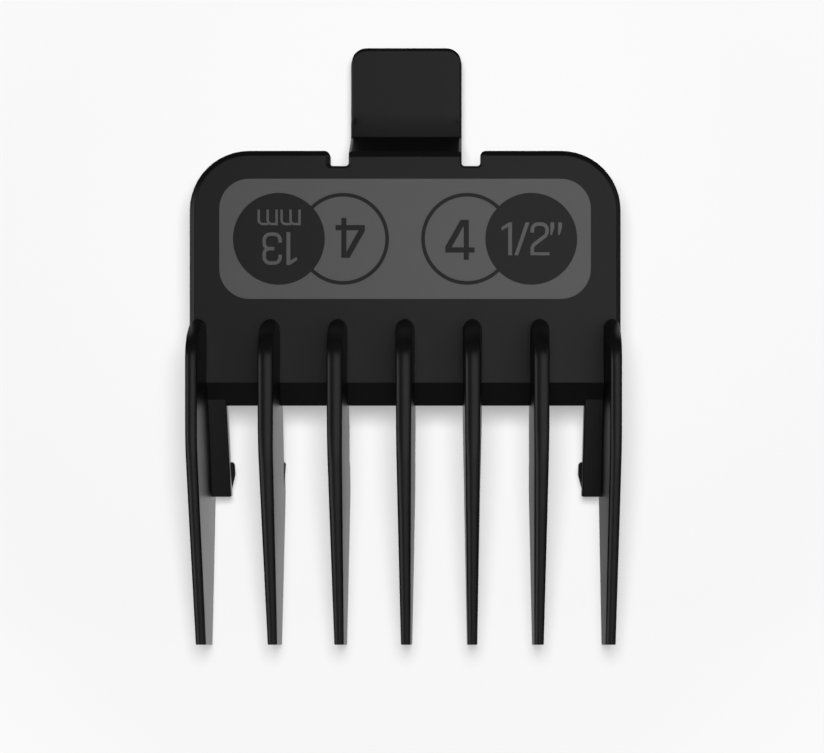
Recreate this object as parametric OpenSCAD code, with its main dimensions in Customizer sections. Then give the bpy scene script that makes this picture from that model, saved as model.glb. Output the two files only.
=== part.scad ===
// Hair clipper guide comb, 13 mm cut: a plate that lies on the clipper's blade, seven tall fins that
// hold the hair up, two side ledges with hooks for the blade's front corners, and a sprung latch
// for its rear edge. The comb stands with its fins up. X runs across the comb, +Y towards the
// latch, +Z up. The origin is under the middle of the whole comb, on the surface it stands on.

/* [Plate] */
// Width of the plate
plate_w = 46; // [40:0.5:52]
// Length of the plate's flat top, from its rear edge to the front bevel
plate_flat_l = 24.74; // [22:0.5:30]
// Thickness of the plate
plate_t = 2.8; // [2.4:0.1:3.4]
// Run of the bevel at the plate's front edge
bevel_run = 2.4; // [1.6:0.1:3]
// Height of the blunt lip under the front bevel
bevel_lip = 0.3; // [0.1:0.1:0.6]
// Radius of the two rear corners
corner_r = 6.35; // [3:0.25:8]
// Rounding of the plate's upper edges
edge_r = 0.6; // [0.3:0.1:0.9]
// Diameter of the ejector pin marks under the plate
pin_mark_d = 3; // [2:0.25:4]
// Depth of the ejector pin marks
pin_mark_depth = 0.15; // [0.1:0.05:0.3]

/* [Fins] */
// Distance between the inner fins
fin_pitch = 7.18; // [6:0.05:7.2]
// Height of the flat ridge above the plate
ridge_h = 8.2; // [5:0.2:11]
// Thickness of an inner fin along its ridge
fin_ridge_t = 1.64; // [1.2:0.05:2]
// Thickness of an outer fin along its ridge
outer_ridge_t = 1.26; // [1:0.05:1.6]
// Thickness of an inner fin's ridge at its tip
fin_tip_t = 1.06; // [0.8:0.05:1.2]
// Thickness of an outer fin's ridge at its tip
outer_tip_t = 1.14; // [0.8:0.05:1.2]
// Draft of an inner fin's sides over its full height, beside the plate
fin_draft_w = 0.25; // [0.1:0.05:0.35]
// Draft of an outer fin's inner side over its full height, beside the plate
outer_draft_w = 0.35; // [0.1:0.05:0.4]
// Draft of the same sides at the tip
tip_draft_w = 0.05; // [0:0.05:0.1]
// Height of the rounded crown along the ridge
crown_h = 0.6; // [0.3:0.05:0.8]
// How far the fins reach past the plate's front edge
fin_reach = 26.42; // [22:0.5:32]
// How far the fins' round noses reach back over the plate from its bevel
nose_back = 6.8; // [5:0.2:8.4]
// Length over which a nose rises to the ridge
nose_rise = 5.6; // [4:0.1:6.4]
// How square a nose is seen from the side, as the power of its rise
nose_power = 3.4; // [2:0.1:5]
// Fall of the ridge towards the tip, in degrees
ridge_slope = 26.6; // [22:0.2:30]
// Height of the end face of a tip
tip_h = 7.8; // [6:0.2:8.4]
// How far the tip's lower corner stands ahead of its upper one
tip_rake = 0.65; // [0:0.05:1]
// Rounding of the knee between the flat and the falling ridge
knee_r = 8; // [4:0.5:12]
// Gap between an outer fin and the plate's side
outer_inset = 0.3; // [0.1:0.05:0.5]

/* [Blade seat] */
// Slope of the fins' lower edges, which lie on the blade's bevel, in degrees
seat_slope = 30; // [26:1:33]
// Flat part of the blade seat, from the plate's front edge back to the fins' heels
heel_back = 2.88; // [2:0.1:4]
// Step up of the plate's underside ahead of the heels, so that the blade lies flat behind it
seat_relief = 0.15; // [0.1:0.05:0.3]
// Run of the sloping seat, from the heels to the stops at the blade's edge
seat_run = 9; // [8:0.25:9.5]
// Depth of the stops in front of the blade's edge
stop_h = 1.6; // [1:0.1:2]
// Run of each stop's ramp
stop_run = 0.6; // [0.4:0.1:1]
// Depth of the fins' bellies below the plate's top
belly_depth = 12; // [11.6:0.1:13]
// How far the bellies lie ahead of the stops
belly_ahead = 4.6; // [4:0.2:6]
// Rounding of the bellies
belly_r = 3; // [2:0.5:5]
// Rise of the lower edges from the bellies to the tips
belly_lift = 1.6; // [1:0.1:2.4]

/* [Side ledges] */
// Width of a ledge, from the middle of the outer fin that carries it
ledge_w = 2.87; // [2.4:0.1:3.4]
// Fall of the ledges, in degrees
ledge_slope = 31; // [28:0.5:33]
// Depth of a ledge's upper face where it leaves the bevel
ledge_drop = 1.65; // [1.4:0.05:2.4]
// How far the ledges' undersides stay above the fins' blade seats
ledge_lift = 0.1; // [0.05:0.05:0.3]
// How far the ledges reach past the plate's front edge
ledge_reach = 9.94; // [9:0.2:11]
// How far a hook stands inwards of its ledge
hook_proud = 0.45; // [0.3:0.05:0.8]
// Length of a hook
hook_l = 2.85; // [2:0.1:3.2]
// Distance from a hook's front end to the end of its ledge
hook_inset = 0.84; // [0.3:0.1:1.5]
// Height of a hook's foot below the plate's top
hook_depth = 10.6; // [10:0.1:11]
// Rounding of a hook's shoulder
shoulder_r = 0.35; // [0.1:0.05:0.4]
// Height of the small key on the second fin, which fits a notch in the blade
key_h = 1.5; // [0.8:0.1:1.8]
// How far that key stands out of the fin
key_proud = 0.1; // [0.06:0.02:0.4]

/* [Latch] */
// Width of the latch, from its neck to its tab
latch_w = 12.05; // [8:0.25:14]
// Width of each relief notch beside the neck
notch_w = 2.0; // [1:0.1:3]
// Depth of the relief notches
notch_d = 1.64; // [1.2:0.1:2]
// Rounding of the notches' inner corners
notch_r = 0.35; // [0.1:0.05:0.5]
// Rounding of the plate's corners beside the notches
notch_corner_r = 0.6; // [0.2:0.1:1]
// Thickness of the neck, the leg and the tab
latch_t = 1.5; // [1.2:0.1:1.8]
// Depth of the tab's upper face below the plate's top
tab_drop = 6.9; // [6:0.1:7.4]
// How far the tab reaches past the plate's rear edge
tab_reach = 11.84; // [9:0.5:16]
// Distance from the plate's rear edge forward to the top of the leg
leg_set = 0.2; // [0.1:0.05:0.8]
// Rearward lean of the leg over its fall to the tab
leg_lean_l = 2.28; // [1.8:0.1:3]
// Radius of the tab's two corners
tab_corner_r = 1.7; // [0.5:0.1:3]
// Rounding of the tab's end
tab_edge_r = 0.35; // [0.2:0.05:0.5]
// Height of the clipper blade's rear edge, which the catch grips
blade_h = 5.2; // [4.8:0.1:5.6]
// How far the catch reaches under the blade's rear edge
catch_grip = 1.1; // [0.6:0.1:1.6]
// Height of the catch's blunt nose
catch_nose = 0.8; // [0.4:0.1:1.2]
// Flat length of the catch's foot
foot_l = 1.8; // [1:0.1:2.4]
// Running clearance round the flexing root of the neck
root_gap = 0.05; // [0.02:0.01:0.1]
// Side clearance of that root
root_side_gap = 0.06; // [0.03:0.01:0.15]

/* [Size print] */
// Thickness of the ink
ink_t = 0.06; // [0.04:0.01:0.1]
// Length of the printed panel across the comb
panel_w = 39.6; // [36:0.2:44]
// Width of the printed panel
panel_l = 12.8; // [12:0.2:14]
// Radius of the panel's corners
panel_r = 3.2; // [0.5:0.1:4]
// Distance from the plate's rear edge to the panel's centre line
panel_set = 9.42; // [9:0.1:10]
// Radius of the bare discs and of the rings
disc_r = 4.9; // [4.4:0.1:5.4]
// Distance from the comb's middle to a disc's centre
disc_x = 13.45; // [13:0.05:14]
// Distance from the comb's middle to a ring's centre
ring_x = 6.61; // [6.2:0.05:7.4]
// Line width of the rings
ring_line = 0.4; // [0.25:0.05:0.6]
// Height of the large guard number
number_h = 4.27; // [3:0.1:5]
// Height of the printed lengths in the discs
length_h = 3.5; // [3:0.1:4]
// Height of the small unit letters
unit_h = 1.67; // [1.2:0.05:2]

/* [Hidden] */

black_plastic = "#1d1d1e";
grey_ink = "#575757";
eps = 0.01;
far = 60;              // longer than any piece, for cuts that run right through
arc_steps = 6;         // straight steps in a rounded stretch

// The comb along Y: the tab's end and the tips are equally far from the origin.
plate_l = plate_flat_l + bevel_run;
whole_l = tab_reach + plate_l + fin_reach;
rear_y = whole_l / 2 - tab_reach;
bevel_y = rear_y - plate_flat_l;
front_y = rear_y - plate_l;
tip_y = -whole_l / 2;

// The comb along Z: the fins' bellies and the catch's foot stand on Z = 0.
top_z = belly_depth;
under_z = top_z - plate_t;

// Fins
nose_y = bevel_y + nose_back;
rise_y = nose_y - nose_rise;
tip_low_z = belly_lift;
tip_top_z = tip_low_z + tip_h;
tip_top_y = tip_y + tip_rake;
knee_y = tip_top_y + (top_z + ridge_h - tip_top_z) / tan(ridge_slope);
knee_half = knee_r * tan(ridge_slope / 2);
heel_y = front_y + heel_back;
stop_y = heel_y - seat_run;
seat_end_z = under_z - seat_run * tan(seat_slope);
stop_z = seat_end_z - stop_h;
belly_y = stop_y - belly_ahead;
belly_rise = atan2(tip_low_z, belly_y - tip_y);
belly_fall = atan2(stop_z, stop_y - stop_run - belly_y);
outer_x = plate_w / 2 - outer_inset - outer_ridge_t / 2;
seat_in_plate_y = heel_y + plate_t / 2 / tan(seat_slope);
key_rear_y = stop_y - 0.1;

// Ledges and hooks
ledge_in = outer_x - ledge_w;
ledge_end_y = front_y - ledge_reach;
bevel_rise = (plate_t - seat_relief - bevel_lip) / bevel_run;
ledge_root_y = bevel_y - ledge_drop / bevel_rise;
hook_front_y = ledge_end_y + hook_inset;
hook_rear_y = hook_front_y + hook_l;

// Latch
root_r = latch_t / 2;
root_y = rear_y - notch_d - 0.2;
root_z = top_z - root_r;
leg_top_y = rear_y - leg_set;
tab_z = top_z - tab_drop;
tab_low_z = tab_z - latch_t;
leg_angle = atan2(leg_lean_l, tab_drop);
leg_run = latch_t / cos(leg_angle);
catch_z = under_z - blade_h;
blade_rear_y = rear_y - notch_d;
catch_y = blade_rear_y - catch_grip;

// Print
panel_y = rear_y - panel_set;

function lerp(a, b, t) = a + (b - a) * t;
function clamp01(t) = max(0, min(1, t));
function arc(c, r, a0, a1, n = arc_steps) =
    [for (i = [0 : n]) c + r * [cos(lerp(a0, a1, i / n)), sin(lerp(a0, a1, i / n))]];

// Where a leg's outer face lies at height z.
function leg_y(z) = leg_top_y + (top_z - z) * leg_lean_l / tab_drop;
// Height of a ledge's upper face at y.
function ledge_z(y) = top_z - ledge_drop - (ledge_root_y - y) * tan(ledge_slope);
// Height of a ledge's underside at y.
function ledge_low_z(y) = seat_z(y) + ledge_lift;
// Height of the sloping blade seat at y.
function seat_z(y) = under_z - (heel_y - y) * tan(seat_slope);

// ---------- Plate ----------

module plate_outline() {
    hw = plate_w / 2;
    difference() {
        union() {
            translate([-hw, front_y]) square([plate_w, plate_l - corner_r]);
            translate([-hw + corner_r, rear_y - corner_r - eps]) square([plate_w - 2 * corner_r, corner_r + eps]);
            for (s = [-1, 1]) translate([s * (hw - corner_r), rear_y - corner_r]) circle(corner_r, $fn = 96);
        }
        for (s = [-1, 1]) on_side(s) {
            translate([(latch_w + notch_w) / 2, 0]) relief_notch();
            translate([latch_w / 2 + notch_w, rear_y]) corner_cut();
        }
        translate([-latch_w / 2 - root_side_gap, root_y]) square([latch_w + 2 * root_side_gap, far]);
    }
}

module relief_notch() {
    bottom = rear_y - notch_d;
    translate([-notch_w / 2, bottom + notch_r]) square([notch_w, far]);
    translate([-notch_w / 2 + notch_r, bottom]) square([notch_w - 2 * notch_r, far]);
    for (s = [-1, 1]) translate([s * (notch_w / 2 - notch_r), bottom + notch_r]) circle(notch_r, $fn = 24);
}

// Rounds the plate's corner beside a notch.
module corner_cut() {
    r = notch_corner_r;
    difference() {
        translate([-eps, -r]) square([r + eps, r + eps]);
        translate([r, -r]) circle(r, $fn = 48);
    }
}

// Side view of the plate: round rear edge, bevelled front edge, stepped underside.
module plate_side() {
    polygon(concat(
        [[front_y, under_z + seat_relief], [heel_y, under_z + seat_relief],
         [heel_y, under_z], [rear_y, under_z]],
        arc([rear_y - edge_r, top_z - edge_r], edge_r, 0, 90),
        [[bevel_y, top_z], [front_y, under_z + seat_relief + bevel_lip]]
    ));
}

// Front view of the plate: both upper edges round.
module plate_front() {
    hw = plate_w / 2;
    polygon(concat(
        [[-hw, under_z], [hw, under_z]],
        arc([hw - edge_r, top_z - edge_r], edge_r, 0, 90),
        arc([-hw + edge_r, top_z - edge_r], edge_r, 90, 180)
    ));
}

// Turns a drawing of the Y-Z plane into a slab along X.
module across(x0, x1) {
    translate([x0, 0, 0]) rotate([90, 0, 90]) linear_extrude(x1 - x0) children();
}

module plate_solid() {
    intersection() {
        translate([0, 0, under_z]) linear_extrude(plate_t) plate_outline();
        across(-far, far) plate_side();
        translate([0, far, 0]) rotate([90, 0, 0]) linear_extrude(2 * far) plate_front();
    }
}

module comb_plate() {
    pin_y = (rear_y - corner_r + heel_y) / 2;
    color(black_plastic) difference() {
        plate_solid();
        translate([-latch_w / 2 - root_side_gap, root_y, root_z]) rotate([0, 90, 0])
            cylinder(r = root_r + root_gap, h = latch_w + 2 * root_side_gap, $fn = 48);
        for (sx = [-1, 1], sy = [-1, 1])
            translate([sx * plate_w / 3, pin_y + sy * plate_flat_l / 4, under_z - eps])
                cylinder(d = pin_mark_d, h = pin_mark_depth + eps, $fn = 48);
    }
}

// ---------- Fins ----------

// Upper edge of a fin, from its nose to its tip, as [y, z]. It runs on past the tip's raked end.
fin_top = concat(
    [for (i = [0 : 8]) let (t = 1 - i / 8) [rise_y + nose_rise * t, top_z + ridge_h * (1 - pow(t, nose_power))]],
    arc([knee_y + knee_half, top_z + ridge_h - knee_r], knee_r, 90, 90 + ridge_slope),
    [[tip_y, tip_top_z - tip_rake * tan(ridge_slope)]]
);

// Lower edge of a fin, from inside the plate to its tip, as [y, z].
fin_low = concat(
    [[nose_y, top_z - plate_t / 2], [seat_in_plate_y, top_z - plate_t / 2],
     [stop_y, seat_end_z], [stop_y - stop_run, stop_z]],
    arc([belly_y, belly_r], belly_r, -90 + belly_fall, -90 - belly_rise),
    [[tip_y, tip_low_z]]
);

// Height of an edge at y, by straight lines between its points, whose y falls.
function edge_z(edge, y, i = 0) =
    i < len(edge) - 2 && y < edge[i + 1][0] ? edge_z(edge, y, i + 1)
        : lerp(edge[i][1], edge[i + 1][1], (edge[i][0] - y) / (edge[i][0] - edge[i + 1][0]));

// The values of a list from high to low, each once.
function falling(v) = len(v) == 0 ? [] :
    let (top = max(v)) concat([top], falling([for (x = v) if (x < top - eps) x]));

fin_stations = falling([for (p = concat(fin_top, fin_low)) p[0]]);

// One cross-section of a fin: two lower corners, then the crown from right to left.
// root_drafts and tip_drafts are each the draft of the left and of the right side.
function fin_ring(y, ridge_t, tip_t, root_drafts, tip_drafts) =
    let (t = clamp01((front_y - y) / fin_reach),
         half = lerp(ridge_t, tip_t, t) / 2,
         drafts = lerp(root_drafts, tip_drafts, t),
         low = edge_z(fin_low, y),
         shoulder = max(edge_z(fin_top, y) - crown_h, low + eps))
    concat([[-half - drafts[0], y, low], [half + drafts[1], y, low]],
           [for (p = arc([0, 0], 1, 0, 180, 8)) [half * p[0], y, shoulder + crown_h * p[1]]]);

// A fin swept along its own two edges.
module fin_blank(ridge_t, tip_t, root_drafts, tip_drafts) {
    rings = [for (y = fin_stations) fin_ring(y, ridge_t, tip_t, root_drafts, tip_drafts)];
    m = len(rings[0]);
    last = len(rings) - 1;
    polyhedron(
        points = [for (ring = rings, p = ring) p],
        faces = concat(
            [[for (i = [0 : m - 1]) i]],
            [[for (i = [m - 1 : -1 : 0]) last * m + i]],
            [for (k = [0 : last - 1], i = [0 : m - 1])
                let (a = k * m + i, b = k * m + (i + 1) % m) each [[a, a + m, b], [b, a + m, b + m]]]
        )
    );
}

// Plan of a fin: a round nose, then straight sides.
module fin_plan(left, right) {
    r = (left + right) / 2;
    translate([(right - left) / 2, nose_y - r]) circle(r, $fn = 48);
    translate([-left, tip_y]) square([left + right, nose_y - r - tip_y]);
}

// What the rake takes off the tip's end.
module tip_cut() {
    lean = tip_rake / tip_h;
    across(-far, far) polygon([
        [tip_y, tip_low_z], [tip_y + lean * far, tip_low_z + far], [tip_y - far, tip_low_z + far],
        [tip_y - far, tip_low_z - far], [tip_y - lean * far, tip_low_z - far]
    ]);
}

module fin(x, ridge_t, tip_t, root_drafts, tip_drafts) {
    translate([x, 0, 0]) difference() {
        intersection() {
            fin_blank(ridge_t, tip_t, root_drafts, tip_drafts);
            linear_extrude(top_z + 2 * ridge_h)
                fin_plan(ridge_t / 2 + root_drafts[0], ridge_t / 2 + root_drafts[1]);
        }
        tip_cut();
    }
}

module inner_fin(place) {
    fin(place * fin_pitch, fin_ridge_t, fin_tip_t, [fin_draft_w, fin_draft_w], [tip_draft_w, tip_draft_w]);
}

// The right outer fin stands upright on its outer side and has all its draft inside.
module outer_fin() {
    fin(outer_x, outer_ridge_t, outer_tip_t, [outer_draft_w, 0], [tip_draft_w, 0]);
}

// What comes in pairs is drawn on the right side, and mirrored to the left.
module on_side(side) {
    if (side > 0) children();
    else mirror([1, 0, 0]) children();
}

module inner_tooth(place) {
    color(black_plastic) difference() {
        inner_fin(place);
        plate_solid();
    }
}

module outer_tooth(side) {
    color(black_plastic) on_side(side) difference() {
        outer_fin();
        plate_solid();
    }
}

module tooth_1() { outer_tooth(-1); }
module tooth_2() { inner_tooth(-2); }
module tooth_3() { inner_tooth(-1); }
module tooth_4() { inner_tooth(0); }
module tooth_5() { inner_tooth(1); }
module tooth_6() { inner_tooth(2); }
module tooth_7() { outer_tooth(1); }

// A small key on the second fin, which only fits the blade the right way round.
module blade_key() {
    fin_x = -2 * fin_pitch;
    key_x = fin_x + fin_ridge_t / 2 + fin_draft_w + key_proud;
    color(black_plastic) difference() {
        translate([fin_x, key_rear_y - hook_l, stop_z - key_h / 2]) cube([key_x - fin_x, hook_l, key_h]);
        inner_fin(-2);
    }
}

// ---------- Side ledges and hooks ----------

module ledge(side) {
    root_y = front_y + bevel_run / 2;
    color(black_plastic) on_side(side) difference() {
        across(ledge_in, outer_x) polygon([
            [root_y, ledge_z(root_y)], [ledge_end_y, ledge_z(ledge_end_y)],
            [ledge_end_y, ledge_low_z(ledge_end_y)], [root_y, ledge_low_z(root_y)]
        ]);
        plate_solid();
        outer_fin();
    }
}

module hook(side) {
    foot_z = top_z - hook_depth;
    tip_x = ledge_in - hook_proud;
    color(black_plastic) on_side(side) difference() {
        intersection() {
            across(tip_x, outer_x) polygon([
                [hook_rear_y, ledge_low_z(hook_rear_y)], [hook_front_y, ledge_low_z(hook_front_y)],
                [hook_front_y, foot_z], [hook_rear_y, foot_z]
            ]);
            linear_extrude(top_z) polygon(concat(
                [[outer_x, hook_front_y], [outer_x, hook_rear_y]],
                arc([tip_x + shoulder_r, hook_rear_y - shoulder_r], shoulder_r, 90, 180),
                [[ledge_in, hook_front_y]]
            ));
        }
        outer_fin();
    }
}

module left_ledge() { ledge(-1); }
module right_ledge() { ledge(1); }
module left_hook() { hook(-1); }
module right_hook() { hook(1); }

// ---------- Latch ----------

// The neck flexes: here it turns on its root in the plate.
module latch_neck() {
    half = latch_w / 2;
    neck_low_z = top_z - latch_t;
    color(black_plastic) {
        across(-half, half) polygon(concat(
            [[root_y, top_z]],
            arc([leg_top_y - edge_r * tan((90 - leg_angle) / 2), top_z - edge_r], edge_r, 90, leg_angle),
            [[leg_y(neck_low_z), neck_low_z], [root_y, neck_low_z]]
        ));
        translate([-half, root_y, root_z]) rotate([0, 90, 0]) cylinder(r = root_r, h = latch_w, $fn = 48);
    }
}

// The leg leans down from the neck to the tab.
module latch_leg() {
    half = latch_w / 2;
    leg_high_z = top_z - latch_t;
    color(black_plastic) across(-half, half) polygon([
        [leg_y(leg_high_z), leg_high_z], [leg_y(tab_low_z), tab_low_z],
        [leg_y(tab_low_z) - leg_run, tab_low_z], [leg_y(leg_high_z) - leg_run, leg_high_z]
    ]);
}

module tab_plan() {
    half = latch_w / 2;
    end_y = rear_y + tab_reach;
    translate([-half, 0]) square([latch_w, end_y - tab_corner_r]);
    translate([-half + tab_corner_r, 0]) square([latch_w - 2 * tab_corner_r, end_y]);
    for (s = [-1, 1]) translate([s * (half - tab_corner_r), end_y - tab_corner_r]) circle(tab_corner_r, $fn = 64);
}

module release_tab() {
    half = latch_w / 2;
    end_y = rear_y + tab_reach;
    color(black_plastic) intersection() {
        across(-half, half) polygon(concat(
            [[leg_y(tab_z), tab_z]],
            arc([end_y - tab_edge_r, tab_z - tab_edge_r], tab_edge_r, 90, 0),
            arc([end_y - tab_edge_r, tab_low_z + tab_edge_r], tab_edge_r, 0, -90),
            [[leg_y(tab_low_z), tab_low_z]]
        ));
        linear_extrude(top_z) tab_plan();
    }
}

// The catch grips the rear edge of the blade, and its ramp lets the blade snap past.
module latch_catch() {
    half = latch_w / 2;
    foot_y = leg_y(0);
    color(black_plastic) across(-half, half) polygon([
        [leg_y(catch_z) - leg_run, catch_z], [catch_y, catch_z], [catch_y, catch_z - catch_nose],
        [foot_y - foot_l, 0], [foot_y, 0],
        [leg_y(tab_low_z), tab_low_z], [leg_y(tab_low_z) - leg_run, tab_low_z]
    ]);
}

// ---------- Size print ----------

// The corner points of a stroke of width w along a path.
function ribbon(path, w) =
    let (n = len(path) - 1,
         dirs = [for (i = [0 : n]) path[min(i + 1, n)] - path[max(i - 1, 0)]],
         sides = [for (d = dirs) [-d[1], d[0]] * w / 2 / norm(d)])
    concat([for (i = [0 : n]) path[i] + sides[i]], [for (i = [n : -1 : 0]) path[i] - sides[i]]);

// The marks are drawn one unit high on their base line.
module mark_1() {
    polygon([[0.214, 0], [0.332, 0], [0.332, 1], [0.235, 1], [0, 0.845], [0.03, 0.755], [0.214, 0.872]]);
}

module mark_2() {
    polygon(ribbon(concat(
        [[0.055, 0.69]], arc([0.225, 0.78], 0.17, 180, 90), arc([0.335, 0.78], 0.17, 90, 0),
        [[0.505, 0.69], [0.46, 0.6], [0.1, 0.32], [0.055, 0.24], [0.055, 0]]
    ), 0.108));
    square([0.58, 0.09]);
}

module mark_3() {
    bowl = concat([[0.055, 0.685]], arc([0.235, 0.76], 0.18, 180, 90), arc([0.36, 0.76], 0.18, 90, 0),
                  arc([0.38, 0.66], 0.16, 0, -90), [[0.235, 0.5]]);
    polygon(ribbon(bowl, 0.105));
    polygon(ribbon([for (p = bowl) [p[0], 1 - p[1]]], 0.105));
}

module mark_4() {
    difference() {
        polygon([[0.461, 0], [0.591, 0], [0.591, 0.18], [0.735, 0.18], [0.735, 0.314], [0.591, 0.314],
                 [0.591, 1], [0.382, 1], [0, 0.33], [0, 0.18], [0.461, 0.18]]);
        polygon([[0.162, 0.314], [0.461, 0.314], [0.461, 0.848]]);
    }
}

module mark_slash() { polygon([[0, 0], [0.11, 0], [0.458, 1], [0.338, 1]]); }

module mark_inch() {
    for (x = [0, 0.235]) translate([x, 0]) polygon([[0, 0.62], [0.045, 0.62], [0.12, 0.84], [0.115, 1], [0, 1]]);
}

module mark_m() {
    stroke = 0.15;
    step = 0.572;
    bend = 0.26;
    square([stroke, 1]);
    for (k = [0, 1]) polygon(ribbon(concat(
        [[(k + 0.5 * stroke) * step, 1 - stroke / 2]],
        arc([(k + 1) * step + stroke / 2 - bend, 1 - stroke / 2 - bend], bend, 90, 0),
        [[(k + 1) * step + stroke / 2, 0]]
    ), stroke));
}

module number_mark() {
    translate([-0.546, -0.525] * number_h) scale(number_h) mark_4();
}

// The cut length in metric units.
module metric_print() {
    translate([-0.563, -0.202] * length_h) scale(length_h) {
        mark_1();
        translate([0.47, 0]) mark_3();
    }
    for (x = [-1.39, 0.07]) translate([x, -1.87] * unit_h) scale(unit_h) mark_m();
}

// The cut length in inches.
module inch_print() {
    translate([-0.917, -0.5] * length_h) scale(length_h) {
        mark_1();
        translate([0.4055, 0]) mark_slash();
        translate([0.893, 0]) mark_2();
        translate([1.5, 0]) mark_inch();
    }
}

module panel_outline() {
    w = panel_w / 2;
    l = panel_l / 2;
    square([panel_w - 2 * panel_r, panel_l], center = true);
    square([panel_w, panel_l - 2 * panel_r], center = true);
    for (sx = [-1, 1], sy = [-1, 1]) translate([sx * (w - panel_r), sy * (l - panel_r)]) circle(panel_r, $fn = 64);
}

// The bare figures of the right half; the left half is the same turned half round.
module bare_half() {
    translate([ring_x, 0]) {
        difference() {
            circle(disc_r, $fn = 96);
            circle(disc_r - ring_line, $fn = 96);
        }
        number_mark();
    }
    translate([disc_x, 0]) circle(disc_r, $fn = 96);
}

module ink() {
    color(grey_ink) translate([0, panel_y, top_z]) linear_extrude(ink_t) children();
}

module size_panel() {
    ink() difference() {
        panel_outline();
        bare_half();
        rotate(180) bare_half();
    }
}

module metric_marks() { ink() translate([-disc_x, 0]) rotate(180) metric_print(); }
module inch_marks() { ink() translate([disc_x, 0]) inch_print(); }

comb_plate();
tooth_1();
tooth_2();
tooth_3();
tooth_4();
tooth_5();
tooth_6();
tooth_7();
left_ledge();
right_ledge();
left_hook();
right_hook();
blade_key();
latch_neck();
latch_leg();
release_tab();
latch_catch();
size_panel();
metric_marks();
inch_marks();
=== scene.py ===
"""Looks of a hair clipper's guide comb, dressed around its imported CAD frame.

The comb lies with its fins up. X runs across it, +Y towards the latch's tab, +Z up, in metres.
Each sub-assembly is a class that builds its own meshes, and each finish is a frozen dataclass.
"""

import logging
import math
from collections.abc import Sequence
from dataclasses import dataclass
from enum import Enum

import bmesh
import bpy
import numpy as np
from bpy.types import Material, Node, NodeSocket, NodeTree, Object
from mathutils import Matrix, Vector


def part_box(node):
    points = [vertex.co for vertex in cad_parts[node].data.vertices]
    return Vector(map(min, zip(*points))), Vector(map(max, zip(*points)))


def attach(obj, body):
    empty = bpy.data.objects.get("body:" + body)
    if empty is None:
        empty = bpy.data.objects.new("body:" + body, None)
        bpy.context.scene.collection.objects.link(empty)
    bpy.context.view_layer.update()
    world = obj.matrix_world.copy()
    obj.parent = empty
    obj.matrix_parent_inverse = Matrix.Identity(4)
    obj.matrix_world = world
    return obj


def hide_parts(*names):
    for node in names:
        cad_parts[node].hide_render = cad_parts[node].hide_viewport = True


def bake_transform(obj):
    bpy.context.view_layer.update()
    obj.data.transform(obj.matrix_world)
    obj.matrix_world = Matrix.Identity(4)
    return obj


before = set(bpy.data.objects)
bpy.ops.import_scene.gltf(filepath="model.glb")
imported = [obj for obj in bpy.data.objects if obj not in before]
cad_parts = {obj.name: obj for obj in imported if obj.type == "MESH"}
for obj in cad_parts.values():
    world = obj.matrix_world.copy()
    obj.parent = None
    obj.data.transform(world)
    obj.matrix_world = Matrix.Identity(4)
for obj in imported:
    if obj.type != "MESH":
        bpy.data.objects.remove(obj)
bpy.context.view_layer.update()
PLATE_LOW, PLATE_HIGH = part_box("comb_plate")

MM = 0.001
MERGED = 0.0004 * MM
NO_AREA = 0.0003 * MM
ON_PLANE = 0.0002 * MM
PARALLEL = 0.9999
LEVEL = math.radians(0.05)
LOG = logging.getLogger("guide_comb")
Pair = tuple[float, float]
Triple = tuple[float, float, float]
Sockets = dict[str | int, object]


class Body(Enum):
    """The two bodies that the comb's pieces move with."""

    COMB = "comb"
    LATCH = "latch"


class Slot(Enum):
    """The record's material slots."""

    PLASTIC = "black_plastic"
    INK = "grey_ink"


class Side(Enum):
    """Which side of the comb a paired piece is on, as the sign of its X."""

    LEFT = -1
    RIGHT = 1


# ---- shader trees


class Value:
    """A shader socket that takes part in sums, so that an expression adds its Math nodes."""

    def __init__(self, tree: "Tree", socket: NodeSocket) -> None:
        """Wraps an output socket of a node in a tree."""
        self.tree = tree
        self.socket = socket

    def _maths(self, operation: str, first: "Value | float", second: "Value | float" = 0.0) -> "Value":
        """Adds one Math node and gives its result."""
        node = self.tree.node("ShaderNodeMath", {0: first, 1: second}, operation=operation)
        return Value(self.tree, node.outputs[0])

    def __add__(self, other: "Value | float") -> "Value":
        """This value plus a value or a number."""
        return self._maths("ADD", self, other)

    def __radd__(self, other: float) -> "Value":
        """A number plus this value."""
        return self._maths("ADD", other, self)

    def __sub__(self, other: "Value | float") -> "Value":
        """This value minus a value or a number."""
        return self._maths("SUBTRACT", self, other)

    def __rsub__(self, other: float) -> "Value":
        """A number minus this value."""
        return self._maths("SUBTRACT", other, self)

    def __mul__(self, other: "Value | float") -> "Value":
        """This value times a value or a number."""
        return self._maths("MULTIPLY", self, other)

    def __rmul__(self, other: float) -> "Value":
        """A number times this value."""
        return self._maths("MULTIPLY", other, self)

    def distance(self, place: float) -> "Value":
        """How far this value is from a number."""
        return self._maths("ABSOLUTE", self - place)


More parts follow.
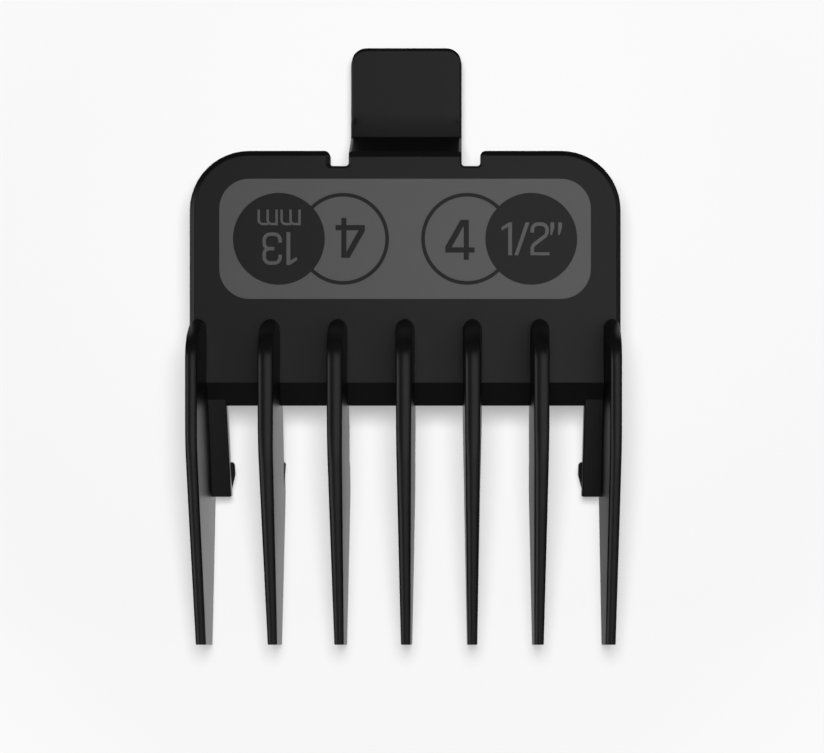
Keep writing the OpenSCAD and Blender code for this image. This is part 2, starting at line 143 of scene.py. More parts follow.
class Tree:
    """Adds nodes to one node tree."""

    def __init__(self, tree: NodeTree) -> None:
        """Wraps a material's, the world's or a modifier's node tree."""
        self.tree = tree

    def node(self, kind: str, sockets: Sockets | None = None, **settings: str) -> Node:
        """Adds one node, gives it its settings, then feeds its sockets.

        Args:
            kind: The node's type.
            sockets: A value or a link for each input, by name or by number.
            **settings: The node's own properties, such as a Math node's operation.

        Returns:
            The new node.
        """
        node = self.tree.nodes.new(kind)
        for name, value in settings.items():
            setattr(node, name, value)
        for name, value in (sockets or {}).items():
            self.feed(node.inputs[name], value)
        return node

    def feed(self, socket: NodeSocket, value: object) -> None:
        """Links a socket to another, or sets it.

        Args:
            socket: The input socket.
            value: A Value, an output socket, a node whose first output is meant, or a plain value.
        """
        if isinstance(value, Value):
            value = value.socket
        if isinstance(value, Node):
            value = value.outputs[0]
        if isinstance(value, NodeSocket):
            self.tree.links.new(value, socket)
        else:
            socket.default_value = value

    def value(self, node: Node, output: str | int = 0) -> Value:
        """One output of a node as a Value."""
        return Value(self, node.outputs[output])

    def place(self) -> NodeSocket:
        """The place on the piece, in its own coordinates."""
        return self.node("ShaderNodeTexCoord").outputs["Object"]

    def noise(self, place: NodeSocket, size: float, detail: float = 2.0, rough: float = 0.5) -> Value:
        """Soft clouds from 0 to 1, with some finer layers and how strong each of them is."""
        return self.value(self.node("ShaderNodeTexNoise", {
            "Vector": place, "Scale": 1 / size, "Detail": detail, "Roughness": rough}))

    def ramp(self, value: Value, run: Pair, levels: Pair, smooth: bool = False) -> Value:
        """A level that changes over a run of the value, and stays as it is beyond the run's ends."""
        ends = dict(zip(("From Min", "From Max", "To Min", "To Max"), (*run, *levels)))
        return self.value(self.node("ShaderNodeMapRange", {"Value": value, **ends},
                                    interpolation_type="SMOOTHSTEP" if smooth else "LINEAR"))

    def mix_greys(self, factor: Value, level: float, spread: float) -> NodeSocket:
        """Mixes a darker grey, at 0, and a lighter one, each a share away from the brightness between."""
        ends = {6: grey(level * (1 - spread)), 7: grey(level * (1 + spread))}
        return self.node("ShaderNodeMix", {"Factor": factor, **ends}, data_type="RGBA").outputs[2]


def grey(level: float) -> tuple[float, float, float, float]:
    """A neutral colour of a linear brightness, with its alpha."""
    return (level, level, level, 1.0)


# ---- finishes


def new_material(name: str) -> tuple[Material, Tree]:
    """Starts a material.

    Args:
        name: Its name.

    Returns:
        The material and its tree.
    """
    material = bpy.data.materials.new(name)
    material.use_nodes = True
    return material, Tree(material.node_tree)


@dataclass(frozen=True)
class MouldedPlastic:
    """Satin black moulded plastic with a faint grain and slow flow marks."""

    name: str = "satin_black_plastic"
    level: float = 0.003
    spread: float = 0.14
    roughness: float = 0.36
    roughness_spread: float = 0.05
    flow_size: float = 6 * MM
    flow_detail: float = 3.0
    flow_strength: float = 0.55
    grain_size: float = 0.16 * MM
    grain_depth: float = 0.0025 * MM

    def material(self) -> Material:
        """Builds the material.

        Returns:
            The material.
        """
        material, tree = new_material(self.name)
        shader = material.node_tree.nodes["Principled BSDF"].inputs
        place = tree.place()
        flow = tree.noise(place, self.flow_size, self.flow_detail, self.flow_strength)
        grain = tree.noise(place, self.grain_size)
        tree.feed(shader["Base Color"], tree.mix_greys(flow, self.level, self.spread))
        tree.feed(shader["Roughness"], self.roughness + (flow + grain - 1.0) * self.roughness_spread)
        tree.feed(shader["Normal"], tree.node("ShaderNodeBump", {
            "Strength": 1.0, "Distance": self.grain_depth, "Height": grain}))
        return material


@dataclass(frozen=True)
class PadPrint:
    """Thin silver-grey pad print, with a fine uneven cover."""

    name: str = "grey_pad_print"
    level: float = 0.124
    metallic: float = 0.65
    spread: float = 0.05
    roughness: float = 0.36
    roughness_spread: float = 0.06
    cloud_size: float = 3 * MM
    fleck_size: float = 0.12 * MM
    fleck_depth: float = 0.002 * MM

    def material(self) -> Material:
        """Builds the material.

        Returns:
            The material.
        """
        material, tree = new_material(self.name)
        shader = material.node_tree.nodes["Principled BSDF"].inputs
        place = tree.place()
        cloud = tree.noise(place, self.cloud_size)
        fleck = tree.noise(place, self.fleck_size)
        tree.feed(shader["Base Color"], tree.mix_greys(0.5 * (cloud + fleck), self.level, self.spread))
        tree.feed(shader["Metallic"], self.metallic)
        tree.feed(shader["Roughness"], self.roughness + (fleck - 0.5) * self.roughness_spread)
        tree.feed(shader["Normal"], tree.node("ShaderNodeBump", {
            "Strength": 1.0, "Distance": self.fleck_depth, "Height": fleck}))
        return material


@dataclass(frozen=True)
class StudioFloor:
    """Pale table that keeps the comb's soft cast shadow, with the shadow's strength painted by place, and
    is clear from below; in the comb's gloss it glows with a painted reflection, brighter on the left and
    near the comb.

    A run says from where to where a level changes: along X, along Y, or away from the middle.
    """

    name: str = "white_table"
    level: float = 0.957
    # Painted shade: the share of the real cast shadow that shows is set by place, deeper beside the latch
    # and fainter ahead of the tips.
    shadow: float = 0.57
    shadow_latch: float = 0.75
    shadow_tips: float = 0.4
    run_to_latch_y: Pair = (12 * MM, 26 * MM)
    run_to_tips_y: Pair = (-28 * MM, -34 * MM)
    shadow_run: Pair = (40 * MM, 65 * MM)
    # Painted reflection: the table's glow in the comb's gloss, set by place, brighter on the left and near
    # the comb.
    gloss_left_right: Pair = (0.9, 0.34)
    gloss_run_x: Pair = (-18 * MM, 18 * MM)
    gloss_added_right: float = 0.4
    added_run_x: Pair = (28 * MM, 33.6 * MM)
    gloss_left_share: float = 0.3
    left_run_x: Pair = (-23.5 * MM, -25 * MM)
    gloss_middle_y: float = -6 * MM
    gloss_run: Pair = (28 * MM, 42 * MM)
    gloss_far: float = 0.05

    def material(self) -> Material:
        """Builds the material.

        Returns:
            The material.
        """
        material, tree = new_material(self.name)
        material.node_tree.nodes.clear()
        place = tree.place()
        sides = tree.node("ShaderNodeSeparateXYZ", {0: place})
        x, y = tree.value(sides, "X"), tree.value(sides, "Y")
        away = tree.value(tree.node("ShaderNodeVectorMath", {0: place}, operation="LENGTH"), "Value")
        path = tree.node("ShaderNodeLightPath").outputs
        paper = tree.node("ShaderNodeBsdfDiffuse", {"Color": grey(self.level)})
        white = tree.node("ShaderNodeEmission", {"Strength": self.level})
        shown = self._either(tree, self._painted_shadow_share(tree, y, away), white, paper)
        # Painted reflection: the table glows in glossy rays with a brightness set by place, not by the
        # lamps.
        painted_reflection_glow = tree.node("ShaderNodeEmission", {"Strength": self._painted_reflection(tree, x, y)})
        lit = self._either(tree, path["Is Camera Ray"], paper, shown)
        chosen = self._either(tree, path["Is Glossy Ray"], lit, painted_reflection_glow)
        below = tree.node("ShaderNodeNewGeometry").outputs["Backfacing"]
        table = self._either(tree, below, chosen, tree.node("ShaderNodeBsdfTransparent"))
        tree.node("ShaderNodeOutputMaterial", {"Surface": table})
        return material

    @staticmethod
    def _either(tree: Tree, factor: object, first: Node, second: Node) -> Node:
        """Mixes two shaders."""
        return tree.node("ShaderNodeMixShader", {0: factor, 1: first, 2: second})

    def _painted_shadow_share(self, tree: Tree, y: Value, away: Value) -> Value:
        """Painted shade: how much of the cast shadow the table shows, set by place: more beside the latch,
        less ahead of the tips, none far away.

        Args:
            tree: The material's tree.
            y: The place along the comb.
            away: The distance from the comb's middle.

        Returns:
            The share.
        """
        near = tree.ramp(away, self.shadow_run, (1.0, 0.0), smooth=True)
        latch = tree.ramp(y, self.run_to_latch_y, (self.shadow, self.shadow_latch))
        tips = tree.ramp(y, self.run_to_tips_y, (1.0, self.shadow_tips / self.shadow))
        return near * latch * tips

    def _painted_reflection(self, tree: Tree, x: Value, y: Value) -> Value:
        """Painted reflection: how bright the table glows in the comb's gloss, brighter near the comb and on
        its left, as if lit from the left and shaded under the comb.

        Args:
            tree: The material's tree.
            x: The place across the comb.
            y: The place along the comb.

        Returns:
            The brightness.
        """
        across = tree.ramp(x, self.gloss_run_x, self.gloss_left_right)
        added = tree.ramp(x, self.added_run_x, (0.0, self.gloss_added_right))
        bright = (across + added) * tree.ramp(x, self.left_run_x, (1.0, self.gloss_left_share))
        for distance in (x.distance(0.0), y.distance(self.gloss_middle_y)):
            bright = bright * tree.ramp(distance, self.gloss_run, (1.0, self.gloss_far), smooth=True)
        return bright


# ---- meshes


@dataclass(frozen=True)
class Corner:
    """One corner of an outline.

    Attributes:
        a: Its first coordinate.
        b: Its second coordinate.
        radius: The corner's rounding.
        edge: Rounding of the solid's edge at this corner.
        facing: The outline's normal here, where it isn't the mean of its two sides.
    """

    a: float
    b: float
    radius: float = 0.0
    edge: float = 0.0
    facing: Pair | None = None


class Outline:
    """A closed outline with round corners, which can be inset by a different amount at each point."""

    STEP = math.radians(7.5)
    LEAST_SPREAD = 0.35

    def __init__(self, corners: Sequence[Corner]) -> None:
        """Rounds the corners.

        Args:
            corners: The corners in order, anticlockwise.
        """
        points: list[np.ndarray] = []
        edges: list[float] = []
        facings: list[Pair | None] = []
        for i, corner in enumerate(corners):
            before, after = corners[i - 1], corners[(i + 1) % len(corners)]
            curve = self._round(before, corner, after)
            points += curve
            facings += [corner.facing] * len(curve)
            last = after if corner.radius > 0 else corner
            edges += list(np.linspace(corner.edge, last.edge, len(curve)))
        self.points = np.array(points)
        self.edges = np.array(edges)
        self.normals = self._normals(facings)

    def _round(self, before: Corner, corner: Corner, after: Corner) -> list[np.ndarray]:
        """The points of one corner.

        Args:
            before: The corner before it.
            corner: The corner itself.
            after: The corner after it.

        Returns:
            Its arc's points, or the corner alone.
        """
        middle = np.array([corner.a, corner.b])
        if corner.radius <= 0:
            return [middle]
        back = np.array([before.a, before.b]) - middle
        ahead = np.array([after.a, after.b]) - middle
        back /= np.linalg.norm(back)
        ahead /= np.linalg.norm(ahead)
        half = math.acos(np.clip(back @ ahead, -1, 1)) / 2
        bisector = (back + ahead) / np.linalg.norm(back + ahead)
        centre = middle + bisector * corner.radius / math.sin(half)
        start = middle + back * corner.radius / math.tan(half) - centre
        turn = math.pi - 2 * half
        steps = max(3, round(turn / self.STEP))
        sign = math.copysign(1.0, start[0] * (middle - centre)[1] - start[1] * (middle - centre)[0])
        curve = []
        for t in np.linspace(0, sign * turn, steps + 1):
            spin = np.array([[math.cos(t), -math.sin(t)], [math.sin(t), math.cos(t)]])
            curve.append(centre + spin @ start)
        return curve

    def _normals(self, facings: Sequence[Pair | None]) -> np.ndarray:
        """Outward normals, lengthened so that an inset keeps each side parallel to itself.

        Args:
            facings: The corners' own normals, where they have one.

        Returns:
            One normal per point.
        """
        ahead = np.roll(self.points, -1, axis=0) - self.points
        ahead /= np.linalg.norm(ahead, axis=1)[:, None]
        side = np.stack([ahead[:, 1], -ahead[:, 0]], axis=1)
        mean = side + np.roll(side, 1, axis=0)
        mean /= np.linalg.norm(mean, axis=1)[:, None]
        mean /= np.clip((mean * side).sum(axis=1), self.LEAST_SPREAD, 1)[:, None]
        for i, facing in enumerate(facings):
            if facing is not None:
                mean[i] = facing
        return mean

    def inset(self, distance: float | np.ndarray) -> np.ndarray:
        """The outline's points moved inwards by one distance, or by one for each point."""
        return self.points - self.normals * np.reshape(distance, (-1, 1))


def arc(centre: Pair, radius: float, turn: Pair, steps: int) -> list[Pair]:
    """Points of an arc, which turns from its first to its last angle, in radians."""
    angles = np.linspace(turn[0], turn[1], steps + 1)
    return [(centre[0] + radius * math.cos(a), centre[1] + radius * math.sin(a)) for a in angles]


def rounding(steps: int) -> list[Pair]:
    """A quarter circle of radius 1: insets from the side with their depths below the top."""
    return [(1 - a, 1 - b) for a, b in arc((0, 0), 1.0, (0, math.pi / 2), steps)]


def soft_chamfer() -> list[Pair]:
    """A chamfer of width 1 with soft corners: insets from the side with their depths."""
    half = [(0.0, 1.0), (0.01, 0.94), (0.04, 0.865), (0.085, 0.795)]
    return half + [(depth, inset) for inset, depth in reversed(half)]


def level_ring(ring: np.ndarray, z: float | np.ndarray) -> np.ndarray:
    """A ring seen from above, laid at one height or at a height for each point."""
    return np.column_stack([ring, np.broadcast_to(z, len(ring))])


def upright_ring(ring: np.ndarray, x: float) -> np.ndarray:
    """A ring seen from the side, set up at one place across the comb."""
    return np.column_stack([np.full(len(ring), x), ring])


def middle_x(node: str) -> float:
    """The X of a CAD node's middle."""
    return sum(corner.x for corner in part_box(node)) / 2


def add_object(name: str, data: bpy.types.ID) -> Object:
    """Adds an object to the scene.

    Args:
        name: Its name.
        data: Its mesh, lamp or camera.

    Returns:
        The object.
    """
    thing = bpy.data.objects.new(name, data)
    bpy.context.scene.collection.objects.link(thing)
    return thing


def add_mesh(name: str, points: Sequence[Triple], faces: Sequence[tuple[int, ...]]) -> Object:
    """Adds an object with a new mesh."""
    mesh = bpy.data.meshes.new(name)
    mesh.from_pydata(points, [], faces)
    return add_object(name, mesh)


def loft(name: str, rings: Sequence[np.ndarray]) -> Object:
    """A closed solid through rings of points.

    Args:
        name: The new object's name.
        rings: Rings with as many points each.

    Returns:
        The object, with its faces outwards.
    """
    count = len(rings[0])
    points = np.concatenate(rings)
    faces: list[tuple[int, ...]] = [tuple(range(count)), tuple(len(points) - 1 - k for k in range(count))]
    for r in range(len(rings) - 1):
        for k in range(count):
            a, b = r * count + k, r * count + (k + 1) % count
            faces.append((a, b, b + count, a + count))
    piece = add_mesh(name, [tuple(p) for p in points], faces)
    tidy(piece)
    return piece


def tidy(piece: Object) -> None:
    """Merges doubled points, drops faces without area and turns all faces outwards.

    Args:
        piece: The mesh object.
    """
    shape = bmesh.new()
    shape.from_mesh(piece.data)
    bmesh.ops.remove_doubles(shape, verts=shape.verts, dist=MERGED)
    bmesh.ops.dissolve_degenerate(shape, dist=NO_AREA, edges=shape.edges)
    bmesh.ops.recalc_face_normals(shape, faces=shape.faces)
    shape.to_mesh(piece.data)
    shape.free()


@dataclass(frozen=True)
class Cut:
    """A plane that takes off what lies beyond it.

    Attributes:
        place: A point on the plane.
        outwards: The direction of what goes.
        removes: Whether it removes anything, or only adds an edge.
    """

    place: Triple
    outwards: Triple
    removes: bool = True


def trim(piece: Object, cuts: Sequence[Cut]) -> Object:
    """Cuts a closed solid by planes and closes each cut.

    Args:
        piece: The mesh object, which is changed.
        cuts: The planes, in order.

    Returns:
        The same object.
    """
    shape = bmesh.new()
    shape.from_mesh(piece.data)
    for cut in cuts:
        everything = [*shape.verts, *shape.edges, *shape.faces]
        result = bmesh.ops.bisect_plane(
            shape, geom=everything, plane_co=cut.place, plane_no=cut.outwards, dist=ON_PLANE,
            clear_outer=cut.removes)
        if cut.removes:
            rim = [e for e in result["geom_cut"] if isinstance(e, bmesh.types.BMEdge) and e.is_boundary]
            bmesh.ops.triangle_fill(shape, edges=rim, use_beauty=True)
            outwards = Vector(cut.outwards).normalized()
            inside = [e for e in shape.edges if e.is_valid and e.is_manifold
                      and all(abs(f.normal.dot(outwards)) > PARALLEL for f in e.link_faces)]
            bmesh.ops.dissolve_limit(shape, angle_limit=LEVEL, verts=[], edges=inside)
    shape.to_mesh(piece.data)
    shape.free()
    tidy(piece)
    return piece


def shade(piece: Object, sharp: float) -> None:
    """Shades the piece smooth over its round edges, and keeps its large faces flat.

    Args:
        piece: The mesh object.
        sharp: Faces that meet at more than this angle, in degrees, keep a crisp edge.
    """
    piece.data.shade_smooth()
    piece.data.set_sharp_from_angle(angle=math.radians(sharp))
    flat = piece.modifiers.new("large_faces_flat", "WEIGHTED_NORMAL")
    flat.keep_sharp = True
    flat.weight = 100
    bake(piece)


def bake(piece: Object) -> None:
    """Replaces the piece's mesh with the result of its modifiers, and removes them.

    Args:
        piece: The mesh object.
    """
    bpy.context.view_layer.update()
    depsgraph = bpy.context.evaluated_depsgraph_get()
    mesh = bpy.data.meshes.new_from_object(
        piece.evaluated_get(depsgraph), preserve_all_data_layers=True, depsgraph=depsgraph)
    piece.modifiers.clear()
    piece.data = mesh
    mesh.name = piece.name


@dataclass
class Dresser:
    """Gives pieces their finish and the nodes that they stand for, and reports them."""

    finishes: dict[Slot, Material]

    def coat(self, piece: Object, slot: Slot) -> None:
        """Gives a piece the finish of one of the record's slots.

        Args:
            piece: The finished piece, or a CAD node that stays as it is.
            slot: The slot.
        """
        piece.data.materials.clear()
        piece.data.materials.append(self.finishes[slot])
        LOG.info("%s: %d faces, %s", piece.name, len(piece.data.polygons), slot.value)

    def dress(self, piece: Object, *nodes: str, sharp: float = 32.0) -> None:
        """Shades and finishes a piece of plastic, and hides the CAD nodes that it stands for.

        Args:
            piece: The piece.
            *nodes: The CAD nodes.
            sharp: Faces that meet at more than this angle, in degrees, keep a crisp edge.
        """
        shade(piece, sharp)
        self.coat(piece, Slot.PLASTIC)
        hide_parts(*nodes)


# ---- sub-assemblies


@dataclass
class Plate:
    """The flat plate over the blade, with the short neck that carries the latch."""

    bevel_run: float = 2.4 * MM
    lip: float = 0.45 * MM
    front_proud: float = 0.07 * MM
    corner: float = 6.35 * MM
    edge: float = 0.6 * MM
    edge_fall: float = 0.72
    notch_width: float = 2.0 * MM
    notch_depth: float = 1.64 * MM
    notch_corner: float = 0.6 * MM
    notch_inner: float = 0.35 * MM
    notch_edge: float = 0.25 * MM
    under_edge: float = 0.15 * MM
    under_steps: int = 3
    neck_end: float = 1.26 * MM
    neck_thickness: float = 1.5 * MM
    neck_start: float = 0.05 * MM
    neck_lines: int = 3

    def __post_init__(self) -> None:
        """Reads the plate's place from the frame."""
        self.front = PLATE_LOW.y - self.front_proud
        self.latch_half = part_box("latch_neck")[1].x
        self.notch_y = PLATE_HIGH.y - self.notch_depth
        self.seam_y = PLATE_HIGH.y - self.neck_end

    def outline(self) -> Outline:
        """The plate seen from above.

        Returns:
            The outline, with the rounding of its edges.
        """
        near = self.latch_half
        wide = near + self.notch_width
        right = [
            Corner(PLATE_HIGH.x, self.front, 0, self.edge, (1, 0)),
            Corner(PLATE_HIGH.x, PLATE_HIGH.y, self.corner, self.edge),
            Corner(wide, PLATE_HIGH.y, self.notch_corner, self.edge),
            Corner(wide, self.notch_y, self.notch_inner, self.notch_edge),
            Corner(near, self.notch_y, self.notch_inner, self.notch_edge),
            Corner(near, self.seam_y, 0, self.notch_edge, (1, 0)),
        ]
        left = [Corner(-c.a, c.b, c.radius, c.edge, c.facing and (-1, 0)) for c in reversed(right)]
        return Outline(right + left)

    def build(self, dresser: Dresser) -> Object:
        """Makes the plate.

        Args:
            dresser: Gives the plate its finish.

        Returns:
            The plate.
        """
        outline = self.outline()
        under = np.minimum(self.under_edge, outline.edges)
        rings = [level_ring(outline.inset(under * inset), PLATE_LOW.z + self.under_edge * depth)
                 for inset, depth in reversed(rounding(self.under_steps))]
        rings += [level_ring(outline.inset(outline.edges * inset),
                             PLATE_HIGH.z - outline.edges * depth * self.edge_fall)
                  for inset, depth in soft_chamfer()]
        plate = loft("plate", rings)
        fall = PLATE_HIGH.z - PLATE_LOW.z - self.lip
        bevel_y = PLATE_LOW.y + self.bevel_run
        lines = np.linspace(self.notch_y, self.seam_y, self.neck_lines, endpoint=False)
        trim(plate, [Cut((0, bevel_y, PLATE_HIGH.z), (0, -fall, bevel_y - self.front)),
                     *[Cut((0, y, 0), (0, 1, 0), removes=False) for y in lines]])
        self._thin_neck(plate)
        dresser.dress(plate, "comb_plate")
        return plate

    def _thin_neck(self, plate: Object) -> None:
        """Lifts the underside of the neck, which is thinner than the plate.

        Args:
            plate: The plate, which is changed.
        """
        under = PLATE_HIGH.z - self.neck_thickness
        beyond = self.notch_y + self.neck_start
        for vertex in plate.data.vertices:
            if vertex.co.y > beyond and abs(vertex.co.x) <= self.latch_half and vertex.co.z < under:
                vertex.co.z = under


@dataclass
class Latch:
    """The sprung latch: a bend that flexes, a leg, a release tab and the catch under the blade."""

    thickness: float = 1.5 * MM
    bend: float = 0.6 * MM
    bend_fall: float = 0.62
    bend_corner: float = 0.15 * MM
    crease: float = 0.12 * MM
    sweep_run: float = 2.0 * MM
    sweep_rise: float = 0.36 * MM
    sweep_radius: float = 12 * MM
    side_edge: float = 0.3 * MM
    side_fall: float = 0.72
    tab_edge: float = 0.45 * MM
    tab_corner: float = 1.7 * MM
    tab_corner_steps: int = 14
    tab_seam: float = 0.5 * MM
    bend_seam: float = 3.9 * MM
    leg_set: float = 0.2 * MM
    leg_lean: float = 2.36 * MM
    catch_nose: float = 0.8 * MM
    catch_round: float = 0.15 * MM
    nose_round: float = 0.25 * MM
    foot: float = 1.8 * MM
    foot_rounds: Pair = (0.3 * MM, 0.25 * MM)
    neck_least: float = 0.02 * MM
    flex_run: float = 1.1 * MM

    def __post_init__(self) -> None:
        """Reads the latch's places from the frame."""
        self.top = PLATE_HIGH.z
        self.tab_low, self.tab_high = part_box("release_tab")
        self.half = self.tab_high.x
        self.catch_low, self.catch_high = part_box("latch_catch")

    def leg_y(self, z: float) -> float:
        """Where the leg's outer face lies at a height."""
        lean = self.leg_lean / (self.top - self.tab_high.z)
        return PLATE_HIGH.y - self.leg_set + (self.top - z) * lean

    def profile(self, seam_y: float) -> Outline:
        """The whole latch seen from its side.

        Args:
            seam_y: Where it meets the plate's neck.

        Returns:
            The outline in Y and Z.
        """
        run = self.thickness / math.cos(math.atan2(self.leg_lean, self.top - self.tab_high.z))
        neck_low = self.top - self.thickness
        bend_z = self.top - self.bend * self.bend_fall
        tab_z, tab_under, end = self.tab_high.z, self.tab_low.z, self.tab_high.y
        catch_z, catch_y = self.catch_high.z, self.catch_low.y
        return Outline([
            Corner(seam_y, self.top, facing=(0, 1)),
            Corner(seam_y, neck_low, facing=(0, -1)),
            Corner(max(seam_y + self.neck_least, self.leg_y(neck_low) - run), neck_low),
            Corner(self.leg_y(catch_z) - run, catch_z, self.crease),
            Corner(catch_y, catch_z, self.catch_round),
            Corner(catch_y, catch_z - self.catch_nose, self.nose_round),
            Corner(self.leg_y(0) - self.foot, 0, self.foot_rounds[0]),
            Corner(self.leg_y(0), 0, self.foot_rounds[1]),
            Corner(self.leg_y(tab_under), tab_under, self.crease),
            Corner(end, tab_under, self.tab_edge),
            Corner(end, tab_z, self.tab_edge),
            Corner(self.leg_y(tab_z) + self.sweep_run, tab_z, self.sweep_radius),
            Corner(self.leg_y(tab_z + self.sweep_rise), tab_z + self.sweep_rise, self.crease),
            Corner(self.leg_y(bend_z), bend_z, self.bend_corner),
            Corner(self.leg_y(bend_z) - self.bend, self.top, self.bend_corner),
        ])

    def stations(self) -> list[Triple]:
        """Places across the latch.

        Returns:
            For each place its X, the inset of the side's soft edge and the pull of the tab's corner.
        """
        edge = [(self.side_edge * inset, self.side_edge * self.side_fall * depth)
                for inset, depth in soft_chamfer()]
        inwards = {inset for inset, depth in edge} | {self.tab_corner, self.half}
        inwards |= {self.tab_corner * depth for inset, depth in rounding(self.tab_corner_steps)}
        found = []
        for x in sorted({side.value * (self.half - run) for run in inwards for side in Side}):
            into_corner = max(0.0, abs(x) - self.half + self.tab_corner)
            inset = float(np.interp(self.half - abs(x), *zip(*edge)))
            pull = self.tab_corner - math.sqrt(max(0.0, self.tab_corner**2 - into_corner**2))
            found.append((x, inset, pull))
        return found

    def build(self, dresser: Dresser, plate: Plate) -> list[Object]:
        """Makes the latch as one shape, and cuts its four pieces from it.

        Args:
            dresser: Gives them their finish.
            plate: The plate that the latch grows from.

        Returns:
            The bend, the leg's wall, the tab and the catch.
        """
        outline = self.profile(plate.seam_y)
        tab_start = self.leg_y(self.tab_high.z) + self.tab_seam
        whole = []
        for x, inset, pull in self.stations():
            ring = outline.inset(inset)
            ring[ring[:, 0] > tab_start + self.tab_corner, 0] -= pull
            whole.append(upright_ring(ring, x))
        shape = loft("latch_shape", whole)
        bend_z, catch_z = self.top - self.bend_seam, self.catch_high.z
        above = Cut((0, 0, bend_z), (0, 0, 1))
        rearward = Cut((0, tab_start, 0), (0, 1, 0))
        parts = {
            "latch_bend": ("latch_neck", [Cut((0, 0, bend_z), (0, 0, -1))]),
            "latch_wall": ("latch_leg", [above, rearward, Cut((0, 0, catch_z), (0, 0, -1))]),
            "thumb_tab": ("release_tab", [above, Cut((0, tab_start, 0), (0, -1, 0))]),
            "blade_catch": ("latch_catch", [Cut((0, 0, catch_z), (0, 0, 1)), rearward]),
        }
        pieces = []
        for name, (node, cuts) in parts.items():
            piece = trim(add_object(name, shape.data.copy()), cuts)
            dresser.dress(piece, node)
            pieces.append(piece)
        bpy.data.objects.remove(shape)
        return pieces


